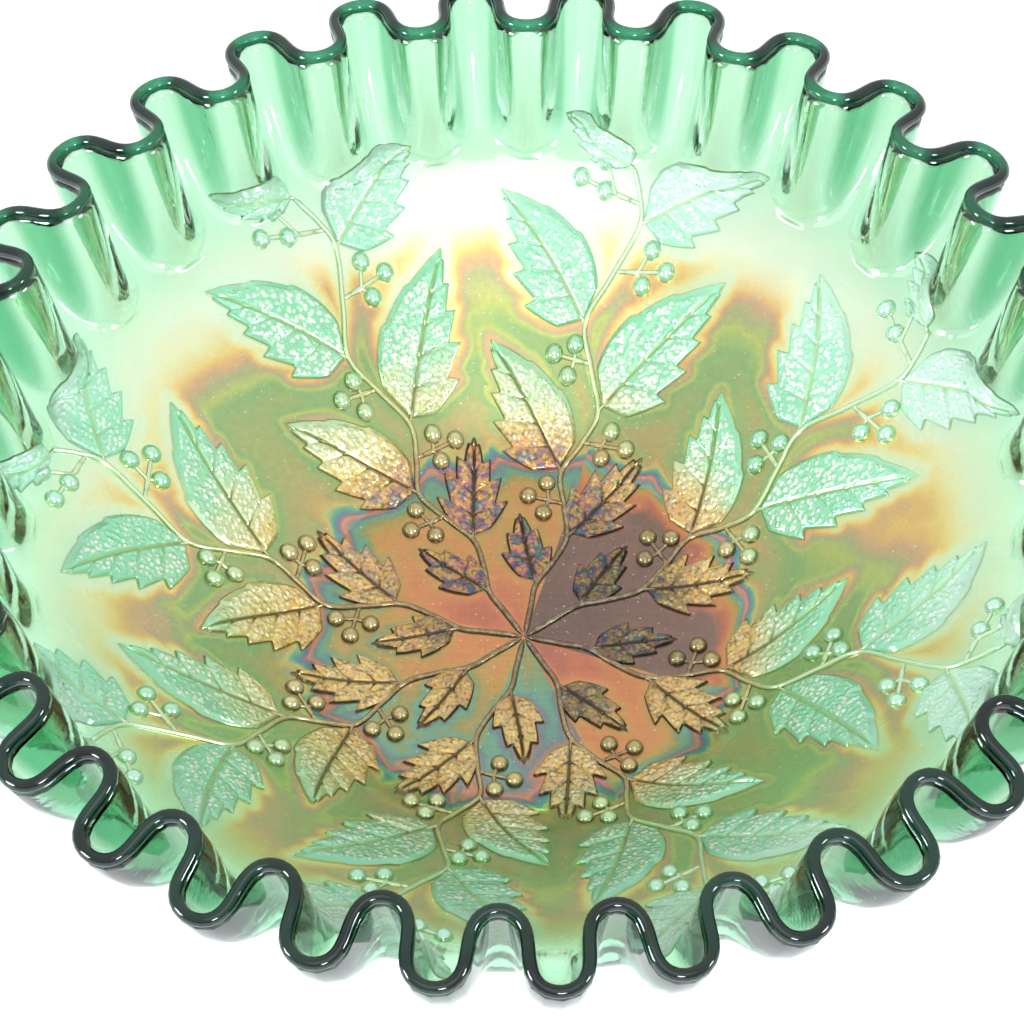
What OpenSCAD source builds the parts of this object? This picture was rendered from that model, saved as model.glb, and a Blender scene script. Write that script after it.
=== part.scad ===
// Ruffled art glass bowl with a holly-like leaf and berry relief on its inside.
// One pressed and crimped glass body, split into its moulded regions, which meet face to face.
// Origin: centre of the foot on the table, +Z up. Units: millimetres.

/* [Body] */
// Thickness of the floor and the wall
glass_t = 4; // [3:0.2:6]
// Radius of the flat floor inside
floor_r = 26; // [20:1:32]
// Inner radius of the bend from the floor into the wall
bend_r = 40; // [32:1:50]
// Slope of the wall above the table, in degrees
wall_angle = 33; // [27:1:40]
// Inner radius at which the plain wall ends and the crimps begin
wall_r = 88; // [73:1:106]

/* [Foot] */
// Outer radius of the collar foot
foot_r = 42; // [34:1:52]
// Width of the foot ring
foot_t = 5; // [3:0.5:8]
// Height of the foot below the floor of the bowl
foot_h = 4.5; // [3:0.5:8]
// Rounding of the foot's lower edges
foot_round = 1.2; // [0.4:0.1:1.4]

/* [Ruffled rim] */
// Distance from the end of the wall out to the middle of the ruffled lip
rim_out = 15.6; // [13:0.2:19]
// Height that the rim gains above the end of the wall
rim_rise = 26; // [21:1:32]
// Slope of the rim at the lip, in degrees
rim_angle = 72; // [66:1:78]
// Thickness of the glass at the lip
rim_t = 2.6; // [2.2:0.2:4]
// Number of crimps around the rim
crimps = 32; // [26:1:38]
// How far the lip swings to each side of its middle line
crimp_depth = 7; // [5:0.5:8.5]
// Squareness of a crimp: 0 is a plain wave, 0.45 has nearly parallel sides
crimp_square = 0.43; // [0:0.01:0.45]
// Unevenness of the hand crimping, as a share of one crimp
crimp_wander = 0.1; // [0:0.02:0.2]

/* [Lip bead] */
// Width of the fire-polished bead along the lip
bead_w = 3.0; // [2.8:0.2:5]
// Height of the bead above the end of the rim
bead_h = 2.2; // [1.6:0.2:3]

/* [Relief] */
// Height of the leaves above the wall
leaf_h = 0.9; // [0.5:0.1:1.4]
// Width of the main stems
stem_w = 1.3; // [0.8:0.1:1.6]
// Height of the main stems
stem_h = 0.7; // [0.4:0.1:1]
// Radius of a berry
berry_r = 1.6; // [1.2:0.1:1.7]
// Width of the thin stalks that carry the berries
stalk_w = 0.8; // [0.5:0.1:1]
// Height of the berry stalks
stalk_h = 0.6; // [0.3:0.1:0.8]
// Direction of the first spray, in degrees from +X
first_spray = 118; // [0:1:359]

/* [Hidden] */
$fn = 96;

glass_green = [0.25, 0.62, 0.42, 0.6];
foot_green = [0.2, 0.55, 0.36, 0.7];
lip_green = [0.05, 0.25, 0.16];
leaf_mint = [0.55, 0.82, 0.66];
leaf_gold = [0.78, 0.68, 0.38];
leaf_teal = [0.2, 0.42, 0.42];
stem_gold = [0.72, 0.62, 0.35];
berry_green = [0.3, 0.6, 0.45];

// Each spray stands a little off even spacing, as cut in the mould, in degrees.
spray_turn = [-1, 1.4, 1.7, -1.6, -3.7, -0.4, 0.9, 2.7];
sprays = len(spray_turn);

// The relief is laid out in plan, in millimetres, for a wall that ends at this radius.
// Y runs outwards along the spray and X runs clockwise around the bowl.
plan_r = 88;
plan_k = wall_r / plan_r;
stem_plan = [[0, 2.2], [-0.6, 7], [-1, 12], [0.6, 18], [1.8, 24], [-0.4, 30.5], [-2.5, 37],
    [-0.4, 43], [1.3, 48.5], [-1.8, 55.5], [-4.5, 62], [-1.6, 70], [1.4, 79], [1, 83], [-1.2, 87]];
// A leaf: plan point at its base, at its tip, half width left and right, sideways bow.
leaf_1 = [[-1.9, 13.6], [-8, 26.8], 3.9, 3.9, 0.3];
leaf_2 = [[2.7, 25.7], [11, 41.4], 6.4, 5.4, 0];
leaf_3 = [[-4, 38.4], [-21, 55], 5.6, 7.6, -0.6];
leaf_4 = [[2.5, 50.3], [19.8, 71.6], 6.8, 8, 0.5];
leaf_5 = [[-5.9, 62.9], [-25.3, 78.6], 6.6, 8.2, -1];
leaf_6 = [[2.9, 79.6], [17.6, 85.3], 2.2, 3.6, 0];
// A berry cluster: the stem point its stalks leave from, then its three berries.
berries_1 = [[-0.6, 31.2], [-4.8, 34.6], [-7.6, 31.2], [-4.2, 27.9]];
berries_2 = [[-0.3, 43.4], [4.6, 46.2], [8.2, 43.6], [4, 41]];
berries_3 = [[-2, 56], [-6, 58.7], [-9.3, 56.2], [-6, 53.2]];
berries_4 = [[-1.2, 71.2], [4.8, 75.6], [8.3, 72.5], [4.3, 69.7]];
berries_5 = [[1, 82.4], [-7.6, 86], [-11.2, 83], [-6.4, 80.2]];
clusters = [berries_1, berries_2, berries_3, berries_4, berries_5];

// Clear gap in plan between a stem and the stalks beside it.
stalk_gap = 0.2;

leaf_steps = 8;
bend_step = 3;
crimp_steps = 10;
rim_levels = [0, 0.16, 0.36, 0.58, 0.8, 1];
crimp_start = 0.167;
wander_turn = 59;
slope_step = 0.01;

floor_z = foot_h + glass_t;

// ---- Profile of the plain body, measured from the centre of the inner floor ----

bend_angles = [for (i = [0 : floor(wall_angle / bend_step)]) i * bend_step];
last_bend = bend_angles[len(bend_angles) - 1];
bend_stops = wall_angle > last_bend ? concat(bend_angles, [wall_angle]) : bend_angles;

// Point of the bend at angle a, depth d under the inner face.
function bend_point(a, d) = [floor_r + (bend_r + d) * sin(a), bend_r - (bend_r + d) * cos(a)];
// Point of the straight wall that lies depth d under the inner point at radius r.
function wall_point(r, d) = let (p = bend_point(wall_angle, 0))
    [r + d * sin(wall_angle), p[1] + (r - p[0]) * tan(wall_angle) - d * cos(wall_angle)];
// Outline of the face that lies depth d under the inner face, from the floor out.
function face_line(d) = concat([for (a = bend_stops) bend_point(a, d)], [wall_point(wall_r, d)]);

// Height of a line of [radius, height] points at radius r.
function line_z(line, r, i = 0) =
    r <= line[0][0] ? line[0][1] :
    i >= len(line) - 2 || r <= line[i + 1][0] ?
        line[i][1] + (r - line[i][0]) * (line[i + 1][1] - line[i][1]) / (line[i + 1][0] - line[i][0]) :
        line_z(line, r, i + 1);

inner_line = face_line(0);
under_line = face_line(glass_t);

// A plan point laid on the inner face, then raised by h.
function on_wall(p, h = 0) = [p[0] * plan_k, p[1] * plan_k, line_z(inner_line, norm(p) * plan_k) + h];

// ---- Ruffled rim ----

function cross2(a, b) = a[0] * b[1] - a[1] * b[0];
function heading(a) = [cos(a), sin(a)];
function unit(v) = v / norm(v);

rim_foot = wall_point(wall_r, glass_t / 2);
rim_head = [wall_r + rim_out, rim_foot[1] + rim_rise];
rim_knee = rim_foot + heading(wall_angle)
    * cross2(rim_head - rim_foot, heading(rim_angle)) / cross2(heading(wall_angle), heading(rim_angle));

// Middle line of the rim: one curve that leaves along the wall and ends at the lip's slope.
function rim_line(s) = (1 - s) * (1 - s) * rim_foot + 2 * s * (1 - s) * rim_knee + s * s * rim_head;
function rim_dir(s) = unit((1 - s) * (rim_knee - rim_foot) + s * (rim_head - rim_knee));
// The crimps grow from nothing at the wall to their full depth at the lip.
function crimp_grow(s) = s <= 0 ? 0 : pow(sin(90 * s), 1.2);
function crimp_phase(a) = crimps * a + 360 * (crimp_start + crimp_wander * cos(a + wander_turn));
function rim_mid(a, s) = let (
        p = crimp_phase(a),
        g = crimp_grow(s),
        d = rim_dir(s),
        q = rim_line(s) + crimp_depth * g * cos(p) * [-d[1], d[0]],
        b = a + crimp_square * g * sin(2 * p) * 180 / PI / crimps)
    [q[0] * cos(b), q[0] * sin(b), q[1]];
function rim_up(a, s) = unit(rim_mid(a, s + slope_step) - rim_mid(a, s - slope_step));
function rim_along(a, s) = unit(rim_mid(a + slope_step, s) - rim_mid(a - slope_step, s));
// Unit vector out of the inner face of the rim.
function rim_normal(a, s) = s <= 0 ? [-sin(wall_angle) * cos(a), -sin(wall_angle) * sin(a), cos(wall_angle)]
    : unit(cross(rim_up(a, s), rim_along(a, s)));
function rim_thick(s) = glass_t + s * (rim_t - glass_t);

rim_turns = [for (i = [0 : crimps * crimp_steps - 1]) i * 360 / (crimps * crimp_steps)];

// Closed ring solid from rows of points: each row is one section, all of the same length.
module ring_solid(rows) {
    n = len(rows);
    m = len(rows[0]);
    points = [for (row = rows) for (p = row) p];
    faces = [for (i = [0 : n - 1]) for (j = [0 : m - 1])
        let (
            a = i * m + j,
            b = i * m + (j + 1) % m,
            c = ((i + 1) % n) * m + (j + 1) % m,
            d = ((i + 1) % n) * m + j)
        for (f = [[a, b, c], [a, c, d]]) f];
    polyhedron(points, faces);
}

// ---- Relief pieces ----

// Bar of triangular section laid on the wall along plan points.
module ridge(path, w, h) {
    n = len(path);
    side = [for (i = [0 : n - 1])
        let (d = unit(path[min(i + 1, n - 1)] - path[max(i - 1, 0)]))
        [d[1], -d[0]] * w / 2 / plan_k];
    points = [for (i = [0 : n - 1])
        each [on_wall(path[i] - side[i]), on_wall(path[i], h), on_wall(path[i] + side[i])]];
    last = 3 * (n - 1);
    faces = concat([[0, 1, 2], [last, last + 2, last + 1]],
        [for (i = [0 : n - 2]) for (j = [0 : 2])
            let (a = 3 * i + j, b = 3 * i + (j + 1) % 3)
            for (f = [[a, a + 3, b + 3], [a, b + 3, b]]) f]);
    polyhedron(points, faces);
}

// Half width of a leaf at share t of its length; odd steps are teeth, even ones the notches between.
function leaf_half(w, t, i) = w * pow(sin(180 * pow(t, 0.8)), 0.75) * (i % 2 == 1 ? 1.06 : 0.8);

// Raised leaf with toothed edges and a higher midrib.
module leaf(shape) {
    base = shape[0];
    tip = shape[1];
    n = leaf_steps;
    axis = unit(tip - base);
    left = [-axis[1], axis[0]];
    lead = norm(tip - base) / n * 0.5;
    mid = [for (i = [0 : n]) base + (tip - base) * i / n + left * shape[4] * sin(180 * i / n)];
    forward = [for (i = [0 : n]) axis * lead * (i % 2)];
    left_edge = [for (i = [1 : n - 1]) mid[i] + forward[i] + left * leaf_half(shape[2], i / n, i)];
    right_edge = [for (i = [1 : n - 1]) mid[i] + forward[i] - left * leaf_half(shape[3], i / n, i)];
    // One layer: base, midrib, tip, then the left and the right edge.
    plan = concat(mid, left_edge, right_edge);
    m = len(plan);
    points = concat([for (i = [0 : m - 1]) on_wall(plan[i], i <= n ? leaf_h : leaf_h * 0.6)],
        [for (p = plan) on_wall(p)]);
    l = function(i) i == 0 ? 0 : i == n ? n : n + i;
    r = function(i) i == 0 ? 0 : i == n ? n : 2 * n - 1 + i;
    half = function(e, flip) [for (i = [0 : n - 1])
        each [if (i > 0) flip ? [i, e(i), e(i + 1)] : [i, e(i + 1), e(i)],
            if (i < n - 1) flip ? [i, e(i + 1), i + 1] : [i, i + 1, e(i + 1)]]];
    top = concat(half(l, true), half(r, false));
    under = [for (f = top) [f[2] + m, f[1] + m, f[0] + m]];
    wall = [for (i = [0 : n - 1]) each [
        [l(i), l(i + 1) + m, l(i + 1)], [l(i), l(i) + m, l(i + 1) + m],
        [r(i), r(i + 1), r(i + 1) + m], [r(i), r(i + 1) + m, r(i) + m]]];
    polyhedron(points, [for (f = concat(top, under, wall)) [f[2], f[1], f[0]]]);
}

// Places one copy of the children for each spray, on the inner floor.
module each_spray() {
    for (k = [0 : sprays - 1]) {
        direction = first_spray - k * 360 / sprays + spray_turn[k];
        translate([0, 0, floor_z]) rotate([0, 0, direction - 90]) children();
    }
}

// Half round berry standing square to the wall. It is seated just clear of the wall's own curve.
module berry(p) {
    r = norm(p) * plan_k;
    slope_angle = atan2(line_z(inner_line, r + berry_r) - line_z(inner_line, r - berry_r), 2 * berry_r);
    seat = berry_r * berry_r / 2 / bend_r;
    translate(on_wall(p)) rotate([0, -slope_angle, atan2(p[1], p[0])]) translate([0, 0, seat])
        intersection() {
            sphere(r = berry_r);
            translate([-berry_r, -berry_r, 0]) cube(2 * berry_r);
        }
}

module cluster_berries(cluster) {
    for (i = [1 : 3]) berry(cluster[i]);
}

module cluster_stalks(cluster) {
    out = unit(cluster[2] - cluster[0]);
    across = unit(cluster[1] - cluster[3]);
    for (i = [1 : 3]) {
        start = out * (stem_w / 2 + stalk_gap) + across * (stalk_w + stalk_gap) * (2 - i);
        root = cluster[0] + start / plan_k;
        aim = unit(cluster[i] - root);
        end = cluster[i] - aim * (berry_r + stalk_gap) / plan_k;
        ridge([root, (root + end) / 2 + out * 0.3, end], stalk_w, stalk_h);
    }
}

// ---- Nodes ----

module floor_disc() {
    color(glass_green) translate([0, 0, foot_h]) cylinder(r = floor_r, h = glass_t);
}

module foot_ring() {
    foot_in = foot_r - foot_t;
    low = -glass_t - foot_h;
    upper = concat([[foot_in, line_z(under_line, foot_in)]],
        [for (p = under_line) if (p[0] > foot_in && p[0] < foot_r) p],
        [[foot_r, line_z(under_line, foot_r)]]);
    round_z = low + foot_round;
    outer_edge = [for (a = [0 : -22.5 : -90]) [foot_r - foot_round, round_z] + foot_round * heading(a)];
    inner_edge = [for (a = [270 : -22.5 : 180]) [foot_in + foot_round, round_z] + foot_round * heading(a)];
    section = concat(upper, outer_edge, inner_edge);
    color(foot_green) translate([0, 0, floor_z]) rotate_extrude() polygon(section);
}

module bowl_wall() {
    under = [for (i = [len(under_line) - 1 : -1 : 0]) under_line[i]];
    color(glass_green) translate([0, 0, floor_z]) rotate_extrude() polygon(concat(inner_line, under));
}

module ruffled_rim() {
    down = [for (i = [len(rim_levels) - 1 : -1 : 0]) rim_levels[i]];
    rows = [for (a = rim_turns) concat(
        [for (s = rim_levels) rim_mid(a, s) + rim_normal(a, s) * rim_thick(s) / 2],
        [for (s = down) rim_mid(a, s) - rim_normal(a, s) * rim_thick(s) / 2])];
    color(glass_green) translate([0, 0, floor_z]) ring_solid(rows);
}

module lip_bead() {
    // Section of the bead: across the lip, then up from the end of the rim.
    section = [[rim_t / 2, 0], [bead_w / 2, 0.4 * bead_h], [0.3 * bead_w, bead_h],
        [-0.3 * bead_w, bead_h], [-bead_w / 2, 0.4 * bead_h], [-rim_t / 2, 0]];
    rows = [for (a = rim_turns) let (lip = rim_mid(a, 1), over = rim_normal(a, 1), up = rim_up(a, 1))
        [for (p = section) lip + over * p[0] + up * p[1]]];
    color(lip_green) translate([0, 0, floor_z]) ring_solid(rows);
}

module spray_stems() {
    color(stem_gold) each_spray() ridge(stem_plan, stem_w, stem_h);
}

module leaves_ring_1() {
    color(leaf_teal) each_spray() leaf(leaf_1);
}

module leaves_ring_2() {
    color(leaf_teal) each_spray() leaf(leaf_2);
}

module leaves_ring_3() {
    color(leaf_gold) each_spray() leaf(leaf_3);
}

module leaves_ring_4() {
    color(leaf_mint) each_spray() leaf(leaf_4);
}

module leaves_ring_5() {
    color(leaf_mint) each_spray() leaf(leaf_5);
}

module leaves_ring_6() {
    color(leaf_mint) each_spray() leaf(leaf_6);
}

module berry_stalks() {
    color(stem_gold) each_spray() {
        for (cluster = clusters) cluster_stalks(cluster);
    }
}

module berries_ring_1() {
    color(berry_green) each_spray() cluster_berries(berries_1);
}

module berries_ring_2() {
    color(berry_green) each_spray() cluster_berries(berries_2);
}

module berries_ring_3() {
    color(berry_green) each_spray() cluster_berries(berries_3);
}

module berries_ring_4() {
    color(berry_green) each_spray() cluster_berries(berries_4);
}

module berries_ring_5() {
    color(berry_green) each_spray() cluster_berries(berries_5);
}

floor_disc();
foot_ring();
bowl_wall();
ruffled_rim();
lip_bead();
spray_stems();
leaves_ring_1();
leaves_ring_2();
leaves_ring_3();
leaves_ring_4();
leaves_ring_5();
leaves_ring_6();
berry_stalks();
berries_ring_1();
berries_ring_2();
berries_ring_3();
berries_ring_4();
berries_ring_5();
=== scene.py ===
import math

import bmesh
import bpy
import numpy as np
from mathutils import Matrix, Vector, kdtree


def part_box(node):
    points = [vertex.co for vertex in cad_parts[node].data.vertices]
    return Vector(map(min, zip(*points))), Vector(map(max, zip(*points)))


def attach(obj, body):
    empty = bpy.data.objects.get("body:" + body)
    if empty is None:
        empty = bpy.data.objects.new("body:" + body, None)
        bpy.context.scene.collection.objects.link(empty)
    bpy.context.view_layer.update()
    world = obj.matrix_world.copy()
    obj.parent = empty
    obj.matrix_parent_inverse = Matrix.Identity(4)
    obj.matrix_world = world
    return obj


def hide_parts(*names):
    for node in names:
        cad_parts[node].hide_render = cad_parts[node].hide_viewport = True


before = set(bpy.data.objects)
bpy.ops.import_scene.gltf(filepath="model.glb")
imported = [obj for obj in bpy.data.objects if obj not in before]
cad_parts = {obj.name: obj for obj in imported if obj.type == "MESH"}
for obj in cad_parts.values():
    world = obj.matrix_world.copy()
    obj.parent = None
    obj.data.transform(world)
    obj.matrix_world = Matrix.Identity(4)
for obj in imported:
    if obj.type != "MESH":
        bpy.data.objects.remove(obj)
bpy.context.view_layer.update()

# ---------------------------------------------------------------- dimensions, in millimetres
# The driving dimensions are those of the CAD source. Radii and heights that the frame can
# give are read from it.
MM = 0.001
FLOOR_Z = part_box("floor_disc")[1][2] / MM
FLOOR_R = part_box("floor_disc")[1][0] / MM
GLASS_T = FLOOR_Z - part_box("floor_disc")[0][2] / MM
FOOT_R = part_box("foot_ring")[1][0] / MM
FOOT_T = 5.0
BEND_R = 40.0
WALL_ANGLE = math.radians(33)
WALL_R = 88.0
RIM_OUT = 15.6
RIM_RISE = 26.0
RIM_ANGLE = math.radians(72)
RIM_T = 2.2
CRIMPS = 32
CRIMP_DEPTH = 7.0
CRIMP_SQUARE = 0.43
CRIMP_START = 0.167
CRIMP_WANDER = 0.1
WANDER_TURN = math.radians(59)
BEAD_W = 2.4
BEAD_H = 2.0
BERRY_R = 1.7
STEM_W = 1.2
STEM_H = 0.75
STALK_W = 0.85
STALK_H = 0.48
LEAF_H = 0.74
SINK = 0.35
BERRY_RISE = BERRY_R * 0.95
LEAF_STEP = 0.26
VEIN_W = 0.3
# Width of the fringes that the wall's film shows round the relief.
FRINGE_W = 1.8

# Sprays: direction of the first one, then each one's turn away from even spacing.
FIRST_SPRAY = math.radians(118)
SPRAY_TURN = [-1, 1.4, 1.7, -1.6, -3.7, -0.4, 0.9, 2.7]
SPRAYS = len(SPRAY_TURN)
SPRAY_ANGLES = [
    FIRST_SPRAY - k * 2 * math.pi / SPRAYS + math.radians(SPRAY_TURN[k]) - math.pi / 2
    for k in range(SPRAYS)
]

# ---------------------------------------------------------------- shape of the glass


def unit(v):
    return v / np.linalg.norm(v, axis=-1, keepdims=True)


def heading(a):
    return np.array([math.cos(a), math.sin(a)])


def cross2(a, b):
    return a[0] * b[1] - a[1] * b[0]


def bend_point(a, depth):
    """Point of the bend between floor and wall, depth under the inner face, as (radius, height)."""
    return (
        FLOOR_R + (BEND_R + depth) * math.sin(a),
        BEND_R - (BEND_R + depth) * math.cos(a),
    )


def wall_point(r, depth):
    """Point of the straight wall under the inner point at radius r."""
    r0, z0 = bend_point(WALL_ANGLE, 0)
    z = z0 + (r - r0) * math.tan(WALL_ANGLE)
    return (r + depth * math.sin(WALL_ANGLE), z - depth * math.cos(WALL_ANGLE))


BEND_END = bend_point(WALL_ANGLE, 0)[0]
RIM_FOOT = np.array(wall_point(WALL_R, GLASS_T / 2))
RIM_HEAD = np.array([WALL_R + RIM_OUT, RIM_FOOT[1] + RIM_RISE])
RIM_KNEE = RIM_FOOT + heading(WALL_ANGLE) * (
    cross2(RIM_HEAD - RIM_FOOT, heading(RIM_ANGLE))
    / cross2(heading(WALL_ANGLE), heading(RIM_ANGLE))
)


def rim_line(s):
    s = np.asarray(s)[..., None]
    return (1 - s) ** 2 * RIM_FOOT + 2 * s * (1 - s) * RIM_KNEE + s**2 * RIM_HEAD


def rim_dir(s):
    s = np.asarray(s)[..., None]
    return unit((1 - s) * (RIM_KNEE - RIM_FOOT) + s * (RIM_HEAD - RIM_KNEE))


def crimp_grow(s):
    return np.sin(np.pi / 2 * np.clip(s, 0, None)) ** 1.2


def rim_mid(a, s):
    """Middle surface of the ruffled rim at turn a, share s of the way from the wall to the lip."""
    a, s = np.broadcast_arrays(np.asarray(a, float), np.asarray(s, float))
    p = CRIMPS * a + 2 * np.pi * (CRIMP_START + CRIMP_WANDER * np.cos(a + WANDER_TURN))
    g = crimp_grow(s)
    d = rim_dir(s)
    q = rim_line(s) + (CRIMP_DEPTH * g * np.cos(p))[..., None] * np.stack([-d[..., 1], d[..., 0]], -1)
    b = a + CRIMP_SQUARE * g * np.sin(2 * p) / CRIMPS
    return np.stack([q[..., 0] * np.cos(b), q[..., 0] * np.sin(b), q[..., 1]], -1)


def rim_frame(a, s):
    """Unit vectors of the rim at (a, s): out of the inner face, and up along the glass."""
    e = 1e-4
    up = unit(rim_mid(a, s + e) - rim_mid(a, s - e))
    along = unit(rim_mid(a + e, s) - rim_mid(a - e, s))
    return unit(np.cross(up, along)), up


def rim_thick(s):
    return GLASS_T + s * (RIM_T - GLASS_T)


RIM_LENGTH = float(np.sum(np.linalg.norm(np.diff(rim_line(np.linspace(0, 1, 60)), axis=0), axis=1)))


def surface(x, y, h):
    """Plan points laid on the inner face and raised by h along its normal.

    Past the plain wall the plan radius runs on up the rim at the wall's own slant.
    """
    x, y, h = np.broadcast_arrays(np.asarray(x, float), np.asarray(y, float), np.asarray(h, float))
    r = np.hypot(x, y)
    a = np.arctan2(y, x)
    bend = np.arcsin(np.clip((r - FLOOR_R) / BEND_R, 0, math.sin(WALL_ANGLE)))
    z = np.where(r > BEND_END, wall_point(r, 0)[1], BEND_R * (1 - np.cos(bend)))
    radial = r - h * np.sin(bend)
    plain = np.stack([radial * np.cos(a), radial * np.sin(a), z + h * np.cos(bend)], -1)
    s = np.clip((r - WALL_R) / math.cos(WALL_ANGLE) / RIM_LENGTH, 0, 0.97)
    normal, _ = rim_frame(a, s + 1e-3)
    ruffled = rim_mid(a, s) + normal * (rim_thick(s) / 2 + h)[..., None]
    return np.where((r > WALL_R)[..., None], ruffled, plain)


# ---------------------------------------------------------------- mesh helpers

# Name of the value that each point carries. On a leaf it is 1 where the painted highlight dots may lie
# and falls to -1 at its veins and margin, which are painted in shade. On stems and berries it falls to
# -1 at the foot, which is painted in shade. On the wall it is the nearness of the relief, and on the
# rim and lip it falls to -1 where a fold runs outwards.
MARK = "mark"


def turn(points, a):
    """Plan points of one spray, turned to its place in the bowl."""
    x, y = points[..., 0], points[..., 1]
    return np.stack([x * math.cos(a) - y * math.sin(a), x * math.sin(a) + y * math.cos(a)], -1)


def grid_faces(rows, cols, wrap=False):
    """Quads between consecutive rows of a grid of points."""
    out = []
    last = cols if wrap else cols - 1
    for i in range(rows - 1):
        for j in range(last):
            a, b = i * cols + j, i * cols + (j + 1) % cols
            out.append([a, b, b + cols, a + cols])
    return out


def tube_faces(rows, cols):
    """Quads of a closed tube: rings of cols points, the last ring joined to the first."""
    last = (rows - 1) * cols
    closing = [[last + j, last + (j + 1) % cols, (j + 1) % cols, j] for j in range(cols)]
    return grid_faces(rows, cols, wrap=True) + closing


def circle(r, z, turns):
    a = np.arange(turns) * 2 * np.pi / turns
    return np.stack([r * np.cos(a), r * np.sin(a), np.full(turns, z)], -1)


def face_outwards(mesh):
    """Joins doubled points and turns every face of the closed shells outwards."""
    shells = bmesh.new()
    shells.from_mesh(mesh)
    bmesh.ops.remove_doubles(shells, verts=shells.verts, dist=0.000005)
    bmesh.ops.recalc_face_normals(shells, faces=shells.faces)
    shells.to_mesh(mesh)
    shells.free()


class Shape:
    """Collects points and faces of one piece; positions in millimetres from the inner floor."""

    def __init__(self):
        self.points = []
        self.values = []
        self.faces = []
        self.count = 0

    def add(self, points, faces, values=0.0):
        points = np.asarray(points, float).reshape(-1, 3)
        self.points.append(points)
        self.values.append(np.broadcast_to(np.ravel(values), len(points)))
        self.faces.extend([[i + self.count for i in f] for f in faces])
        self.count += len(points)

    def build(self, name, materials, nodes, material_of=None):
        points = (np.concatenate(self.points) + [0, 0, FLOOR_Z]) * MM
        mesh = bpy.data.meshes.new(name)
        mesh.from_pydata(points.tolist(), [], self.faces)
        mesh.update()
        marks = mesh.attributes.new(MARK, "FLOAT", "POINT")
        marks.data.foreach_set("value", np.concatenate(self.values))
        for m in materials:
            mesh.materials.append(m)
        if material_of is not None:
            mesh.polygons.foreach_set("material_index", material_of)
        mesh.polygons.foreach_set("use_smooth", [True] * len(mesh.polygons))
        face_outwards(mesh)
        piece = bpy.data.objects.new(name, mesh)
        bpy.context.scene.collection.objects.link(piece)
        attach(piece, "root")
        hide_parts(*nodes)
        return piece


def smooth_path(points, steps):
    """Catmull-Rom curve through plan points."""
    p = np.asarray(points, float)
    p = np.vstack([2 * p[0] - p[1], p, 2 * p[-1] - p[-2]])
    out = []
    for i in range(1, len(p) - 2):
        for t in np.linspace(0, 1, steps, endpoint=False):
            out.append(
                0.5
                * (
                    2 * p[i]
                    + (p[i + 1] - p[i - 1]) * t
                    + (2 * p[i - 1] - 5 * p[i] + 4 * p[i + 1] - p[i + 2]) * t**2
                    + (3 * p[i] - p[i - 1] - 3 * p[i + 1] + p[i + 2]) * t**3
                )
            )
    out.append(p[-2])
    return np.array(out)


# ---------------------------------------------------------------- materials

GLASS_IOR = 1.5
# Two nearby tints each, which the glass wanders between.
BODY_TINTS = ((172, 230, 192), (154, 222, 178))
LIP_TINTS = ((5, 24, 24), (14, 62, 46))
FOOT_TINTS = ((120, 204, 160), (96, 188, 144))
FLOOR_TINTS = ((226, 228, 231), (232, 233, 235))
# The glass where a fold of the rim stands edge-on and is seen through its depth.
DEEP_GREEN = (58, 166, 106)
FAR_LIP = (48, 138, 100)


def linear(c):
    """A screen colour in 0 to 255, as the linear colour that shaders take."""
    out = []
    for v in c:
        v = v / 255
        out.append(v / 12.92 if v <= 0.04045 else ((v + 0.055) / 1.055) ** 2.4)
    return (*out, 1.0)


class Nodes:
    """Short ways to build one material's node tree."""

    def __init__(self, tree):
        self.tree = tree

    def new(self, kind, settings=None, **inputs):
        n = self.tree.nodes.new(kind)
        for key, value in (settings or {}).items():
            setattr(n, key, value)
        for key, value in inputs.items():
            self.put(n.inputs[key.replace("_", " ")], value)
        return n

    def put(self, socket, value):
        if isinstance(value, bpy.types.NodeSocket):
            self.tree.links.new(value, socket)
        else:
            socket.default_value = value

    def math(self, operation, a, b=0.0, c=0.0):
        n = self.tree.nodes.new("ShaderNodeMath")
        n.operation = operation
        for socket, value in zip(n.inputs, (a, b, c)):
            self.put(socket, value)
        return n.outputs[0]

    def span(self, value, low, high, to_low=0.0, to_high=1.0, smooth=True):
        n = self.tree.nodes.new("ShaderNodeMapRange")
        n.interpolation_type = "SMOOTHSTEP" if smooth else "LINEAR"
        for socket, v in zip(n.inputs[:5], (value, low, high, to_low, to_high)):
            self.put(socket, v)
        return n.outputs[0]

    def noise(self, vector, scale, detail=2.0):
        n = self.new("ShaderNodeTexNoise", Vector=vector, Scale=scale, Detail=detail, Roughness=0.5)
        return n.outputs["Fac"]

    def wander(self, place, scale, low=0.0, high=1.0, detail=2.0):
        """A value that drifts between low and high over the surface."""
        return self.span(self.noise(place, scale, detail), 0.3, 0.7, low, high)

    def ramp(self, value, stops):
        """Colour ramp with its stops given as (position, screen colour)."""
        n = self.tree.nodes.new("ShaderNodeValToRGB")
        ramp = n.color_ramp
        while len(ramp.elements) < len(stops):
            ramp.elements.new(1.0)
        for element, (position, colour) in zip(ramp.elements, stops):
            element.position = position
            element.color = linear(colour)
        self.put(n.inputs[0], value)
        return n.outputs[0]

    def mix(self, share, a, b, blend="MIX"):
        n = self.tree.nodes.new("ShaderNodeMix")
        n.data_type = "RGBA"
        n.blend_type = blend
        self.put(n.inputs["Factor"], share)
        self.put(n.inputs["A"], a)
        self.put(n.inputs["B"], b)
        return n.outputs["Result"]


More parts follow.
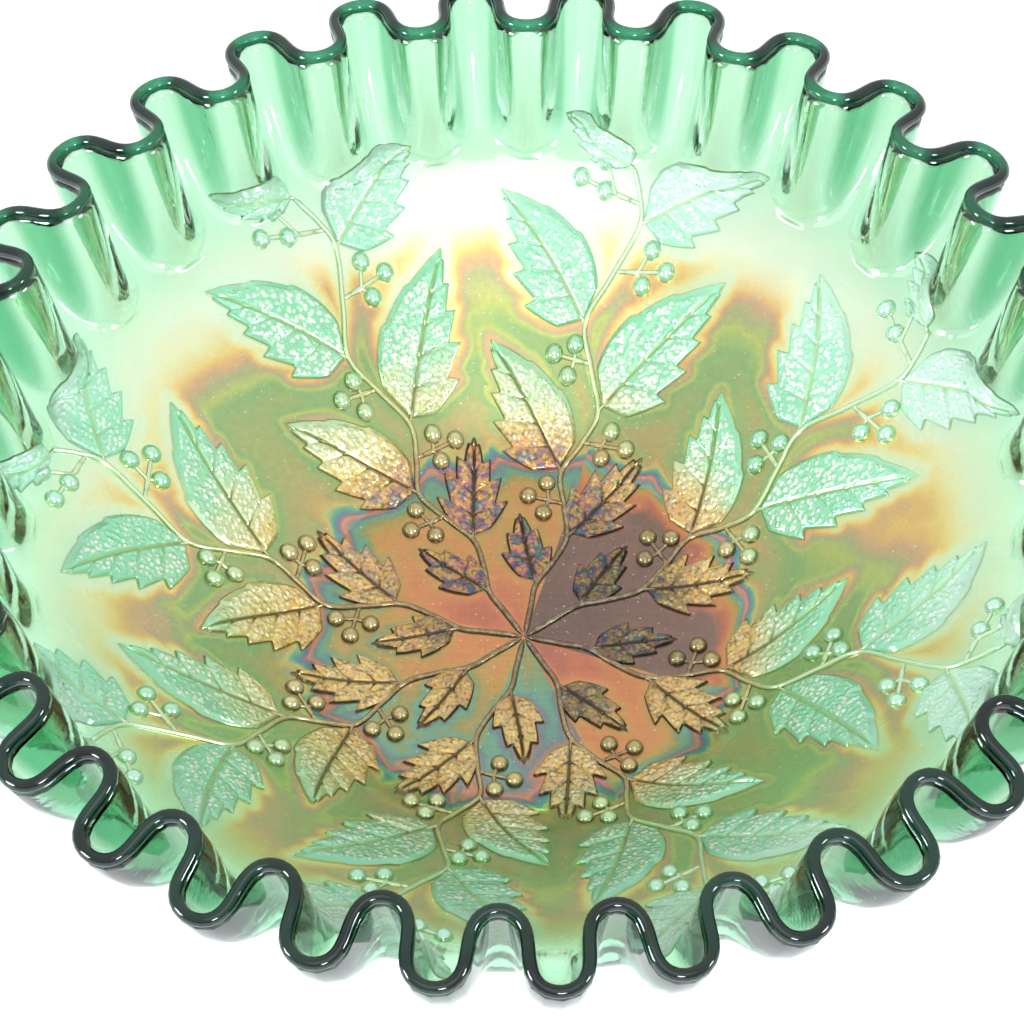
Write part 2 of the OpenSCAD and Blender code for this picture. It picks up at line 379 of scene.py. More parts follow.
# The film's colours run through the interference orders from the middle of the bowl outwards.
# Each stop is (radius in millimetres, colour).
FILM_FROM, FILM_TO = -20.0, 110.0
GROUND_COLOURS = [
    # The first two stops, dark mauve-brown, are partly painted shade: a dark reflection over the middle.
    (-16, (128, 100, 94)),
    (-4, (146, 110, 102)),
    (2, (214, 124, 100)),
    (7, (228, 148, 98)),
    (12, (210, 162, 98)),
    (16, (166, 162, 108)),
    (20, (126, 174, 150)),
    (24, (130, 140, 148)),
    (27, (186, 140, 120)),
    (30, (226, 140, 116)),
    (33, (150, 112, 132)),
    (36, (96, 140, 152)),
    (39, (112, 166, 132)),
    (43, (206, 186, 112)),
    (46, (206, 164, 98)),
    (49, (186, 162, 108)),
    (55, (168, 168, 106)),
    (62, (142, 170, 110)),
    (65, (188, 188, 104)),
    (68, (172, 168, 120)),
    (71, (214, 160, 122)),
    (73, (236, 178, 108)),
    (75, (244, 204, 120)),
    (78, (240, 226, 158)),
    (82, (230, 236, 190)),
    (88, (220, 236, 190)),
    (98, (206, 234, 202)),
]
LEAF_COLOURS = [
    (-12, (66, 78, 64)),
    (2, (84, 92, 68)),
    (8, (140, 132, 84)),
    (13, (220, 176, 96)),
    (22, (250, 216, 132)),
    (34, (236, 196, 108)),
    (42, (228, 214, 146)),
    (49, (196, 220, 168)),
    (55, (160, 222, 180)),
    (68, (150, 224, 184)),
    (78, (172, 234, 202)),
    (88, (208, 246, 226)),
]
# Iridescence of the innermost leaves.
RAINBOW = [
    (0.3, (40, 116, 124)),
    (0.42, (78, 72, 132)),
    (0.5, (184, 104, 122)),
    (0.6, (214, 164, 84)),
    (0.7, (44, 118, 96)),
]
# Painted highlights: the bright dots on the leaves' stipple.
DOT_HIGHLIGHT_COLOURS = [
    (-10, (150, 140, 96)),
    (10, (230, 200, 134)),
    (24, (252, 234, 180)),
    (44, (255, 246, 214)),
    (62, (252, 252, 238)),
    (90, (246, 255, 248)),
]
BERRY_COLOURS = [
    (-12, (116, 96, 78)),
    (13, (176, 150, 104)),
    (34, (214, 190, 138)),
    (46, (206, 226, 172)),
    (60, (172, 228, 190)),
    (88, (206, 246, 226)),
]
STEM_COLOURS = [
    (-10, (132, 106, 88)),
    (20, (168, 138, 98)),
    (34, (190, 166, 116)),
    (46, (208, 206, 146)),
    (56, (206, 226, 172)),
    (84, (216, 242, 210)),
]
# Painted shade along the veins and at the foot of every raised edge; at the veins it is partly the
# film's own darker colour.
EDGE_SHADE_COLOURS = [
    (-10, (56, 46, 40)),
    (36, (84, 68, 46)),
    (48, (120, 116, 66)),
    (60, (158, 186, 112)),
    (84, (196, 228, 176)),
]
# The film near the middle changes from one gap between two sprays to the next. The largest shifts
# reach the dark mauve-brown stops, partly painted shade: a dark reflection over the middle. Each
# gap's shift in millimetres, going clockwise from the gap after the first spray.
GAP_SHIFTS = [-13, -30, -30, -16, 0, -5, -9, -13]
# A grey level carries the shift from -half of this to +half of it.
SHIFT_SPAN = 60


def film_group():
    """Node group with the film's order (0 to 1), the radius, the gap's shift and the direction."""
    group = bpy.data.node_groups.new("film_order", "ShaderNodeTree")
    for name in ("Order", "Radius", "Shift", "Angle"):
        group.interface.new_socket(name, in_out="OUTPUT", socket_type="NodeSocketFloat")
    group.interface.new_socket("Push", in_out="INPUT", socket_type="NodeSocketFloat")
    n = Nodes(group)
    push = n.new("NodeGroupInput").outputs["Push"]
    place = n.new("ShaderNodeTexCoord").outputs["Object"]
    xyz = n.new("ShaderNodeSeparateXYZ", Vector=place)
    x, y = xyz.outputs["X"], xyz.outputs["Y"]
    square = n.math("ADD", n.math("MULTIPLY", x, x), n.math("MULTIPLY", y, y))
    radius = n.math("MULTIPLY", n.math("SQRT", square), 1000)
    angle = n.math("ARCTAN2", y, x)
    # The film hardly changes over the floor, runs through a rainbow at the bend, then slows.
    order = n.math(
        "ADD",
        n.math("ADD", n.span(radius, 0, 34, 14, 23, False), n.span(radius, 34, 46, 0, 23, False)),
        n.span(radius, 46, 110, 0, 64, False),
    )
    # Clockwise turn from the first spray, 0 to 1, and the shift of the gap it falls in.
    clockwise = n.math("SUBTRACT", FIRST_SPRAY + 2 * math.pi, angle)
    clockwise = n.math("FRACT", n.math("MULTIPLY", clockwise, 0.5 / math.pi))
    steps = n.tree.nodes.new("ShaderNodeValToRGB")
    steps.color_ramp.interpolation = "CONSTANT"
    steps.color_ramp.elements.remove(steps.color_ramp.elements[1])
    elements = steps.color_ramp.elements
    for k, shift in enumerate(GAP_SHIFTS):
        start = (k * 2 * math.pi / SPRAYS - math.radians(SPRAY_TURN[k])) / (2 * math.pi)
        level = shift / SHIFT_SPAN + 0.5
        element = elements[0] if k == 0 else elements.new(max(start, 0))
        element.position = max(start, 0)
        element.color = (level, level, level, 1)
    n.put(steps.inputs[0], clockwise)
    gap_shift = n.math("MULTIPLY", n.math("SUBTRACT", steps.outputs[0], 0.5), SHIFT_SPAN)
    order = n.math("ADD", order, n.math("MULTIPLY", gap_shift, n.span(radius, 37, 45, 1.0, 0.0)))
    # Thicker towards the front.
    front = n.math("MAXIMUM", n.math("MULTIPLY", n.math("SINE", angle), -1), 0)
    order = n.math("SUBTRACT", order, n.math("MULTIPLY", front, n.span(radius, 48, 62, 0, 7)))
    # Fringes round the relief.
    near = n.math("POWER", push, n.span(radius, 30, 46, 2.4, 1.0))
    order = n.math("ADD", order, n.math("MULTIPLY", near, n.span(radius, 30, 46, 5, 12)))
    # Uneven spraying.
    reach = n.math("MULTIPLY", n.span(radius, 62, 80, 32, 9), n.span(radius, 32, 50, 0.22, 1.0))
    broad = n.math("MULTIPLY", n.math("SUBTRACT", n.noise(place, 36, 1.0), 0.5), reach)
    fine = n.math("MULTIPLY", n.math("SUBTRACT", n.noise(place, 95, 2.0), 0.5), 9)
    order = n.math("ADD", order, n.math("ADD", broad, fine))
    out = n.new("NodeGroupOutput")
    n.put(out.inputs["Order"], n.span(order, FILM_FROM, FILM_TO, smooth=False))
    n.put(out.inputs["Radius"], radius)
    n.put(out.inputs["Shift"], gap_shift)
    n.put(out.inputs["Angle"], angle)
    return group


FILM = film_group()


def film_stops(colours):
    return [((r - FILM_FROM) / (FILM_TO - FILM_FROM), c) for r, c in colours]


def start_material(name):
    m = bpy.data.materials.new(name)
    m.use_nodes = True
    n = Nodes(m.node_tree)
    shader = m.node_tree.nodes["Principled BSDF"]
    return m, n, shader


def film_inputs(n, push=0.0):
    film = n.new("ShaderNodeGroup", {"node_tree": FILM})
    n.put(film.inputs["Push"], push)
    place = n.new("ShaderNodeTexCoord").outputs["Object"]
    return film, place


def set_glass(n, shader, colour, metal, clear, rough):
    """The settings that every glass surface has; metal stands for the film's mirror share."""
    n.put(shader.inputs["Base Color"], colour)
    n.put(shader.inputs["Metallic"], metal)
    n.put(shader.inputs["Transmission Weight"], clear)
    n.put(shader.inputs["IOR"], GLASS_IOR)
    n.put(shader.inputs["Roughness"], rough)


def mark_input(n):
    return n.new("ShaderNodeAttribute", {"attribute_name": MARK}).outputs["Fac"]


def deepen_flanks(n, colour):
    """Deeper green where a fold of the rim runs outwards."""
    return n.mix(n.span(mark_input(n), -0.25, -0.85, 0.0, 0.8), colour, linear(DEEP_GREEN))


def inside_glass():
    """Film-coated inner face of the floor, the wall and the rim."""
    m, n, shader = start_material("film_glass")
    film, place = film_inputs(n, n.math("MAXIMUM", mark_input(n), 0))
    radius = film.outputs["Radius"]
    colour = n.ramp(film.outputs["Order"], film_stops(GROUND_COLOURS))
    colour = n.mix(n.wander(place, 900, 0.0, 0.1, 3.0), colour, (1, 1, 1, 1), "OVERLAY")
    # Brush lines on the floor, a painted sheen of reflected light high on the far wall, and specks of
    # dust.
    along = n.new("ShaderNodeVectorMath", {"operation": "MULTIPLY"})
    n.put(along.inputs[0], place)
    along.inputs[1].default_value = (60, 1500, 1500)
    brushed = n.span(n.noise(along.outputs[0], 1.0, 2.0), 0.35, 0.65, 0.0, 0.2)
    brushed = n.math("MULTIPLY", brushed, n.span(radius, 20, 40, 1.0, 0.2))
    colour = n.mix(brushed, colour, (0.3, 0.3, 0.3, 1), "OVERLAY")
    # Painted sheen: near-white reflected light painted high on the far wall.
    far = n.math("MAXIMUM", n.math("SINE", film.outputs["Angle"]), 0)
    painted_sheen = n.math("MULTIPLY", n.span(radius, 73, 81), n.span(radius, 84, 93, 0.5, 0.0))
    colour = n.mix(n.math("MULTIPLY", painted_sheen, far), colour, linear((252, 252, 244)))
    colour = n.mix(n.span(n.noise(place, 2400, 0.0), 0.8, 0.84, 0.0, 0.6), colour, (1, 1, 1, 1))
    # Darker green painted high on the near side of the wall.
    near = n.math("MAXIMUM", n.math("SUBTRACT", 0.0, n.math("SINE", film.outputs["Angle"])), 0)
    near_side_darkening = n.math("MULTIPLY", near, n.span(radius, 68, 84, 0.0, 0.55))
    colour = n.mix(near_side_darkening, colour, linear((104, 160, 116)))
    colour = n.mix(n.span(radius, 84, 95), colour, linear((206, 236, 208)))
    colour = deepen_flanks(n, colour)
    rough = n.math("MULTIPLY", n.wander(place, 60, 0.22, 0.32), n.span(radius, 82, 94, 1.0, 0.1))
    set_glass(n, shader, colour, n.span(radius, 78, 94, 0.66, 0.05), 1.0, rough)
    bump = n.new("ShaderNodeBump", Strength=0.12, Distance=0.0002, Height=n.noise(place, 700, 2.0))
    n.put(shader.inputs["Normal"], bump.outputs[0])
    return m


def bare_glass():
    """Fire-polished underside and outside, with no film."""
    m, n, shader = start_material("bare_glass")
    place = n.new("ShaderNodeTexCoord").outputs["Object"]
    tint = n.span(n.noise(place, 30, 2.0), 0.35, 0.65)
    colour = n.mix(tint, *map(linear, BODY_TINTS))
    colour = deepen_flanks(n, colour)
    set_glass(n, shader, colour, 0.0, 1.0, n.wander(place, 120, 0.0, 0.05))
    return m


def lip_glass():
    """Dark emerald edge of the lip."""
    m, n, shader = start_material("lip_glass")
    place = n.new("ShaderNodeTexCoord").outputs["Object"]
    tint = n.wander(place, 70)
    dark = n.mix(tint, *map(linear, LIP_TINTS))
    ends = n.new("ShaderNodeSeparateXYZ", Vector=place).outputs["Y"]
    far = n.math("MULTIPLY", n.span(ends, 0.02, 0.08), n.span(mark_input(n), -0.7, -0.1))
    colour = n.mix(far, dark, linear(FAR_LIP))
    set_glass(n, shader, colour, 0.0, 0.6, n.wander(place, 150, 0.02, 0.06))
    return m


def foot_glass():
    """Thick green glass of the foot, worn dull in patches."""
    m, n, shader = start_material("foot_glass")
    place = n.new("ShaderNodeTexCoord").outputs["Object"]
    tint = n.wander(place, 50)
    colour = n.mix(tint, *map(linear, FOOT_TINTS))
    set_glass(n, shader, colour, 0.0, 1.0, n.wander(place, 140, 0.05, 0.2, 3.0))
    return m


def relief_order(n, film):
    """Where the raised pattern stands in its film's colours: it leads and lags with direction."""
    inner = n.math("MULTIPLY", film.outputs["Shift"], n.span(film.outputs["Radius"], 32, 50, 0.75, 0.0))
    side = n.math("COSINE", n.math("SUBTRACT", film.outputs["Angle"], math.radians(165)))
    outer = n.math("MULTIPLY", side, n.span(film.outputs["Radius"], 26, 44, 0.0, -8.0))
    return n.math("ADD", film.outputs["Radius"], n.math("ADD", inner, outer))


def leaf_glass():
    """Leaves: clear mint film with painted highlights as bright stipple dots."""
    m, n, shader = start_material("leaf_film")
    film, place = film_inputs(n)
    order = relief_order(n, film)
    drift = n.math("MULTIPLY", n.math("SUBTRACT", n.noise(place, 160, 2.0), 0.5), 16)
    share = n.span(n.math("ADD", order, drift), FILM_FROM, FILM_TO, smooth=False)
    colour = n.ramp(share, film_stops(LEAF_COLOURS))
    dark = n.ramp(share, film_stops(EDGE_SHADE_COLOURS))
    rainbow = n.ramp(n.noise(place, 520, 2.0), RAINBOW)
    # The rainbow is strongest on the leaves a little left of the far side.
    lit = n.math("SINE", n.math("SUBTRACT", film.outputs["Angle"], math.radians(15)))
    lit = n.math("MAXIMUM", lit, 0.4)
    play = n.math("MULTIPLY", lit, n.span(film.outputs["Radius"], 38, 48, 0.85, 0.0))
    colour = n.mix(play, colour, rainbow)
    # Painted shade: darker pits in the hollows between the stipple's raised points.
    pit_shade = n.span(n.noise(place, 1300, 2.0), 0.5, 0.36)
    pit_shade = n.math("MULTIPLY", pit_shade, n.span(film.outputs["Radius"], 34, 60, 0.6, 0.2))
    colour = n.mix(pit_shade, colour, dark)
    # Painted shade along the veins and the margin's foot, partly the film's own darker colour at the
    # veins.
    colour = n.mix(n.span(mark_input(n), -0.15, -0.65, 0.0, 0.9), colour, dark)
    # Painted highlights: bright dots on the stipple's raised points; the same dots drive its bump.
    cells = n.new("ShaderNodeTexVoronoi", Vector=place, Scale=1000.0)
    grains = n.span(cells.outputs["Distance"], 0.62, 0.22)
    dots = n.math("MULTIPLY", grains, n.span(mark_input(n), 0.05, 0.4))
    patches = n.span(n.noise(place, 190, 1.0), 0.36, 0.52, 0.25, 1.0)
    dot_highlights = n.math("MULTIPLY", dots, patches)
    dot_highlights = n.math("MULTIPLY", dot_highlights, n.math("MULTIPLY_ADD", play, -0.7, 0.85))
    colour = n.mix(dot_highlights, colour, n.ramp(share, film_stops(DOT_HIGHLIGHT_COLOURS)))
    metal = n.span(film.outputs["Radius"], 50, 88, 0.5, 0.1)
    clear = n.span(film.outputs["Radius"], 40, 88, 0.25, 0.5)
    set_glass(n, shader, colour, metal, clear, n.wander(place, 300, 0.12, 0.24))
    bump = n.new("ShaderNodeBump", Strength=0.6, Distance=0.0002, Height=dots)
    n.put(shader.inputs["Normal"], bump.outputs[0])
    return m


def plain_relief(name, colours, metal, rough):
    """Stems, stalks and berries: the film without the painted highlight dots."""
    m, n, shader = start_material(name)
    film, place = film_inputs(n)
    drift = n.math("MULTIPLY", n.math("SUBTRACT", n.noise(place, 200, 2.0), 0.5), 14)
    share = n.span(n.math("ADD", relief_order(n, film), drift), FILM_FROM, FILM_TO, smooth=False)
    specks = n.span(n.noise(place, 900, 2.0), 0.4, 0.7, 0.0, 0.25)
    colour = n.mix(specks, n.ramp(share, film_stops(colours)), linear((238, 240, 214)))
    # Painted shade at the foot, where stems, stalks and berries meet the wall.
    foot = n.span(mark_input(n), -0.3, -0.9, 0.0, 0.8)
    colour = n.mix(foot, colour, n.ramp(share, film_stops(EDGE_SHADE_COLOURS)))
    set_glass(n, shader, colour, metal, 0.4, n.wander(place, 300, rough * 0.6, rough * 1.3))
    return m


# ---------------------------------------------------------------- glass body

TURNS = CRIMPS * 16
AROUND = np.arange(TURNS) * 2 * np.pi / TURNS


def ring(r, z):
    return circle(r, z, TURNS)


def rim_ring(s, side):
    normal, _ = rim_frame(AROUND, max(s, 1e-3))
    return rim_mid(AROUND, s) + side * normal * rim_thick(s) / 2


def relief_points():
    """Plan points spread along the edges of all leaves, stems and berries."""
    spots = [smooth_path(STEM_PLAN, 12)]
    for leaf in LEAVES.values():
        for points, *_ in leaf_grid(leaf, 4):
            spots.append(points[::2, -1])
            spots.append(points[::3].reshape(-1, 2))
    for cluster in CLUSTERS.values():
        spots.append(np.array(cluster[1:], float))
    spots = np.concatenate(spots)
    return np.concatenate([turn(spots, a) for a in SPRAY_ANGLES])


def nearness(points):
    """How near each inner point is to the relief, 1 at the relief and fading to 0."""
    near = relief_points()
    tree = kdtree.KDTree(len(near))
    for i, (x, y) in enumerate(near):
        tree.insert((x, y, 0), i)
    tree.balance()
    gaps = np.array([tree.find((x, y, 0))[2] for x, y, _ in points])
    return np.exp(-((gaps / FRINGE_W) ** 2))


def flank_share(a, normal):
    """How far the rim at angles a turns from facing the middle (0) to running outwards (1)."""
    facing = np.abs(normal[:, 0] * np.cos(a) + normal[:, 1] * np.sin(a))
    return 1 - facing / np.hypot(normal[:, 0], normal[:, 1])


def glass_body(inside, outside):
    """Floor, wall and ruffled rim: one closed shell of glass."""
    rings = [ring(r, 0) for r in np.linspace(1.0, FLOOR_R, 24)]
    rings += [ring(*bend_point(a, 0)) for a in np.linspace(0, WALL_ANGLE, 29)[1:]]
    rings += [ring(*wall_point(r, 0)) for r in np.linspace(BEND_END, WALL_R, 55)[1:]]
    plain = np.concatenate(rings)
    levels = np.linspace(0, 1, 26)[1:]
    rings += [rim_ring(s, 1) for s in levels]
    inner_count = len(rings)
    rings += [rim_ring(s, -1) for s in levels[::-1]]
    rings += [ring(*wall_point(r, GLASS_T)) for r in np.linspace(WALL_R, BEND_END, 12)[:-1]]
    rings += [ring(*bend_point(a, GLASS_T)) for a in np.linspace(WALL_ANGLE, 0, 12)[:-1]]
    rings += [ring(r, -GLASS_T) for r in np.linspace(FLOOR_R, 1.0, 4)]
    last = (len(rings) - 1) * TURNS
    top, under = last + TURNS, last + TURNS + 1
    faces = grid_faces(len(rings), TURNS, wrap=True)
    caps = [[top, j, (j + 1) % TURNS] for j in range(TURNS)]
    caps += [[under, last + (j + 1) % TURNS, last + j] for j in range(TURNS)]
    values = np.zeros(under + 1)
    values[: len(plain)] = nearness(plain)
    for k, s in enumerate(levels):
        flank = flank_share(AROUND, rim_frame(AROUND, s)[0])
        inner_row = inner_count - len(levels) + k
        outer_row = inner_count + len(levels) - 1 - k
        for row in (inner_row, outer_row):
            values[row * TURNS : (row + 1) * TURNS] = -flank * soft(s / 0.3)
    inner_faces = (inner_count - 1) * TURNS
    material_of = [0 if i < inner_faces else 1 for i in range(len(faces))] + [0] * TURNS + [1] * TURNS
    shape = Shape()
    points = np.concatenate([*rings, [[0, 0, 0], [0, 0, -GLASS_T]]])
    shape.add(points, faces + caps, values)
    nodes = ["floor_disc", "bowl_wall", "ruffled_rim"]
    return shape.build("glass_body", [inside, outside], nodes, material_of)


def lip_bead(material):
    """Rounded fire-polished edge that caps the rim."""
    turns = 2 * TURNS
    a = np.arange(turns) * 2 * np.pi / turns
    normal, up = rim_frame(a, 1.0)
    lip = rim_mid(a, 1.0)
    steps = 16
    rows = []
    for k in range(steps):
        t = 2 * np.pi * k / steps
        across = BEAD_W / 2 * math.cos(t)
        rise = BEAD_H * 0.38 + BEAD_H * 0.62 * math.sin(t)
        rows.append(lip + normal * across + up * rise)
    shape = Shape()
    shape.add(np.concatenate(rows), tube_faces(steps, turns), np.tile(-flank_share(a, normal), steps))
    return shape.build("lip_bead", [material], ["lip_bead"])


def foot_ring(material):
    """Collar foot under the bend, rounded where it rests."""
    inner = FOOT_R - FOOT_T
    low = -FLOOR_Z
    seat = -GLASS_T + 1.6
    round_r = 1.3
    outline = [(inner - 0.6, seat), (inner - 0.2, low + 2.6), (inner, low + round_r)]
    outline += [
        (inner + round_r - round_r * math.cos(t), low + round_r - round_r * math.sin(t))
        for t in np.linspace(0.3, math.pi / 2, 5)
    ]
    outline += [
        (FOOT_R - round_r + round_r * math.sin(t), low + round_r - round_r * math.cos(t))
        for t in np.linspace(0, math.pi / 2, 6)
    ]
    outline += [(FOOT_R - 0.5, low + 3.0), (FOOT_R - 0.6, seat + 0.9)]
    turns = 192
    shape = Shape()
    shape.add(np.concatenate([circle(r, z, turns) for r, z in outline]), tube_faces(len(outline), turns))
    return shape.build("foot_ring", [material], ["foot_ring"])


# ---------------------------------------------------------------- relief

# Main stem of a spray in plan: y runs out along the spray and x clockwise round the bowl.
STEM_PLAN = [
    (0, 0.4), (-0.6, 7), (-1, 12), (0.8, 18), (1.8, 24), (-0.4, 30.5), (-2.8, 37), (-0.4, 43),
    (1.3, 48.7), (-1.8, 55.5), (-4.7, 62.2), (-1.8, 70), (1.4, 79), (0.2, 84), (-2.6, 89),
]

# A leaf: base, tip, bow of its midrib, then for its left and right side (width, teeth, depth).
LEAVES = {
    1: dict(base=(-1.3, 12.8), tip=(-8.2, 27.2), bow=0.3, left=(6.2, 3, 0.3), right=(6.0, 3, 0.3)),
    2: dict(base=(2.2, 24.9), tip=(11.6, 42.6), bow=0.0, left=(8.6, 4, 0.36), right=(8.0, 4, 0.36)),
    3: dict(base=(-3.2, 37.8), tip=(-21.5, 55.4), bow=-0.8, left=(9.6, 5, 0.26), right=(8.6, 3, 0.06)),
    4: dict(base=(1.8, 49.6), tip=(20, 72.2), bow=0.6, left=(9.8, 3, 0.06), right=(9.6, 5, 0.26)),
    5: dict(base=(-5, 62.4), tip=(-25.8, 79.2), bow=-1.2, left=(9.8, 5, 0.26), right=(9.0, 3, 0.06)),
    6: dict(base=(1.9, 79.6), tip=(24, 91.2), bow=0.8, left=(9.4, 4, 0.06), right=(9.4, 5, 0.26)),
    7: dict(base=(-2.8, 89.2), tip=(-17.5, 96), bow=-0.8, left=(6.2, 4, 0.26), right=(5.6, 3, 0.06)),
}

# A berry cluster: the stem point its stalks leave from, then its berries.
CLUSTERS = {
    1: [(-0.6, 31.2), (-4.9, 34.6), (-7.6, 31.2), (-3.9, 28.3)],
    2: [(-0.3, 43.4), (4.6, 46), (8.1, 43.5), (3.9, 41.3)],
    3: [(-2, 56), (-5.7, 58.5), (-9.2, 56.2), (-5.8, 53.3)],
    4: [(-1.2, 71.2), (4.8, 75.6), (8.3, 72.5), (4.3, 69.7)],
    5: [(1, 82.4), (-7.4, 88.2), (-11.4, 84.6), (-6.4, 83.4)],
}


def leaf_side(u, width, teeth, depth):
    """Reach of a leaf from its midrib to its margin, along the side veins, at shares u."""
    outline = np.sin(np.pi * np.sqrt(0.05 + 0.95 * u)) ** 0.9
    f = (u * teeth / 0.9) % 1.0
    tooth = np.where(f < 0.85, (f / 0.85) ** 1.25, (1 - f) / 0.15)
    fade = np.clip((1 - u) / 0.12, 0, 1)
    return width * outline * (1 - depth * fade * (1 - tooth)), f


def soft(x):
    x = np.clip(x, 0, 1)
    return x * x * (3 - 2 * x)


def leaf_grid(spec, across):
    """Plan points, heights and margin gaps of the two sides of a leaf, from midrib to margin."""
    base, tip = np.array(spec["base"], float), np.array(spec["tip"], float)
    length = np.linalg.norm(tip - base)
    axis = (tip - base) / length
    left = np.array([-axis[1], axis[0]])
    u = np.linspace(0, 1, int(length / LEAF_STEP) + 1)
    mid = base + np.outer(u, tip - base) + np.outer(spec["bow"] * np.sin(np.pi * u), left)
    lean = np.radians(64 - 34 * u)
    v = 1 - (1 - np.linspace(0, 1, across + 1)) ** 1.15
    sides = []
    for sign, key in ((1, "left"), (-1, "right")):
        width, teeth, depth = spec[key]
        reach, f = leaf_side(u, width, teeth, depth)
        ray = np.outer(np.cos(lean), axis) + sign * np.outer(np.sin(lean), left)
        points = mid[:, None, :] + ray[:, None, :] * (reach[:, None] * v[None, :])[..., None]
        # Height: bevelled margin, steep where it is toothed, quilted between the side veins,
        # grooved along the veins and the midrib.
        bevel = 0.45 if depth > 0.2 else 1.3
        gap = (reach * np.sin(lean))[:, None] * (1 - v)[None, :]
        from_base = (u * length * np.sin(lean))[:, None]
        edge = soft(gap / bevel) * soft(from_base / 0.6)
        from_vein = np.minimum(f, 1 - f)[:, None] * length / teeth * np.sin(lean)[:, None]
        groove = np.exp(-((from_vein / VEIN_W) ** 2)) * np.clip(1.1 - v, 0, 1)[None, :]
        quilt = np.sin(np.pi * f)[:, None] * np.sin(np.pi * np.clip(v, 0, 1))[None, :]
        from_mid = (reach * np.sin(lean))[:, None] * v[None, :]
        midrib = np.exp(-((from_mid / VEIN_W) ** 2))
        pressed = 1.0 if depth > 0.2 else 0.3
        height = LEAF_H * edge * (0.74 + pressed * (0.26 * quilt - 0.34 * groove) - 0.45 * midrib)
        height[:, -1] = height[0] = -SINK
        # The last two masks: where the painted highlight dots may lie, and the veins and margin foot,
        # which are painted in shade.
        inside = soft((gap - 0.5) / 1.2) * soft((from_mid - 0.4) / 0.5) * soft(from_base / 2)
        veins = np.maximum(pressed * groove * soft(gap / 2), midrib * soft(gap / 1.5))
        foot = 1 - soft(gap / (0.7 if np.hypot(*tip) < 46 else 0.35))
        sides.append((points, height, inside * (1 - veins), np.maximum(veins, foot)))
    # The two sides meet at one height along the midrib.
    middle = (sides[0][1][:, 0] + sides[1][1][:, 0]) / 2
    for side in sides:
        side[1][:, 0] = middle
    return sides


def stipple(x, y, seed):
    """Irregular pitted texture of a leaf, in millimetres, from crossed waves of uneven length."""
    rng = np.random.default_rng(seed)
    out = np.zeros_like(x)
    for _ in range(8):
        k = 2 * np.pi / rng.uniform(1.1, 1.8)
        a = rng.uniform(0, 2 * np.pi)
        out += np.sin(k * (x * math.cos(a) + y * math.sin(a)) + rng.uniform(0, 2 * np.pi))
    return out / 4


def add_leaf(shape, spec, a, seed):
    for points, height, inside, veins in leaf_grid(spec, 24):
        p = turn(points, a)
        x, y = p[..., 0], p[..., 1]
        dots = np.clip(stipple(x, y, seed), 0, 1) * inside
        top = surface(x, y, height + 0.2 * dots)
        low = surface(x[:, [0, -1]], y[:, [0, -1]], -2 * SINK)
        rows, cols = top.shape[:2]
        start = shape.count
        under = start + rows * cols
        shape.add(top, grid_faces(rows, cols), inside - veins)
        shape.add(low, grid_faces(rows, 2))
        # Wall between the margin and the underside, then the same at the leaf's base.
        for i in range(rows - 1):
            edge = start + i * cols + cols - 1
            shape.faces.append([edge, edge + cols, under + 2 * i + 3, under + 2 * i + 1])
        shape.faces.append([start + j for j in range(cols)] + [under + 1, under])


def leaf_ring(number, material):
    """One leaf of every spray; the outermost ring also carries the small leaf at the stem's end."""
    shape = Shape()
    for k, a in enumerate(SPRAY_ANGLES):
        for which in (6, 7) if number == 6 else (number,):
            add_leaf(shape, LEAVES[which], a, 100 * which + k)
    return shape.build(f"leaves_ring_{number}", [material], [f"leaves_ring_{number}"])


def add_ridge(shape, path, width, height, a, taper=0.0):
    """Half-round bar along a plan path, sunk into the wall, with rounded ends."""
    path = np.asarray(path, float)
    n = len(path)
    d = np.gradient(path, axis=0)
    d = d / np.linalg.norm(d, axis=1, keepdims=True)
    side = np.stack([d[:, 1], -d[:, 0]], -1)
    share = np.linspace(0, 1, n)
    ends = np.clip(np.minimum(share, 1 - share) * n / 2.5, 0, 1) ** 0.5
    size = (1 - taper * share) * np.clip(ends, 0.05, 1)
    profile = [(math.cos(t), math.sin(t)) for t in np.linspace(0, math.pi, 9)]
    rows, marks = [], []
    for across, rise in profile:
        p = turn(path - side * (across * width / 2 * size)[:, None], a)
        rows.append(surface(p[:, 0], p[:, 1], rise * height * size - 0.05))
        # The mark falls to -1 at the sides and foot, which are painted in shade.
        marks.append(-(abs(across) ** 3))
    for across in (-0.8, 0.8):
        p = turn(path - side * (across * width / 2 * size)[:, None], a)
        rows.append(surface(p[:, 0], p[:, 1], -SINK))
        marks.append(-1.0)
    cols = len(rows)
    points = np.stack(rows, 1)
    faces = grid_faces(n, cols, wrap=True)
    faces.append(list(range(cols))[::-1])
    faces.append([(n - 1) * cols + j for j in range(cols)])
    shape.add(points, faces, np.tile(marks, n))


def spray_stems(material):
    shape = Shape()
    for a in SPRAY_ANGLES:
        path = smooth_path(STEM_PLAN, 8)
        add_ridge(shape, path, STEM_W, STEM_H, a, taper=0.15)
        for leaf in LEAVES.values():
            base, tip = np.array(leaf["base"]), np.array(leaf["tip"])
            aim = (tip - base) / np.linalg.norm(tip - base)
            start = path[np.argmin(np.linalg.norm(path - (base - aim * 1.2), axis=1))]
            path_in = smooth_path([start, base, base + aim * 2.2], 5)
            add_ridge(shape, path_in, STEM_W * 0.8, STEM_H, a, taper=0.4)
    return shape.build("spray_stems", [material], ["spray_stems"])


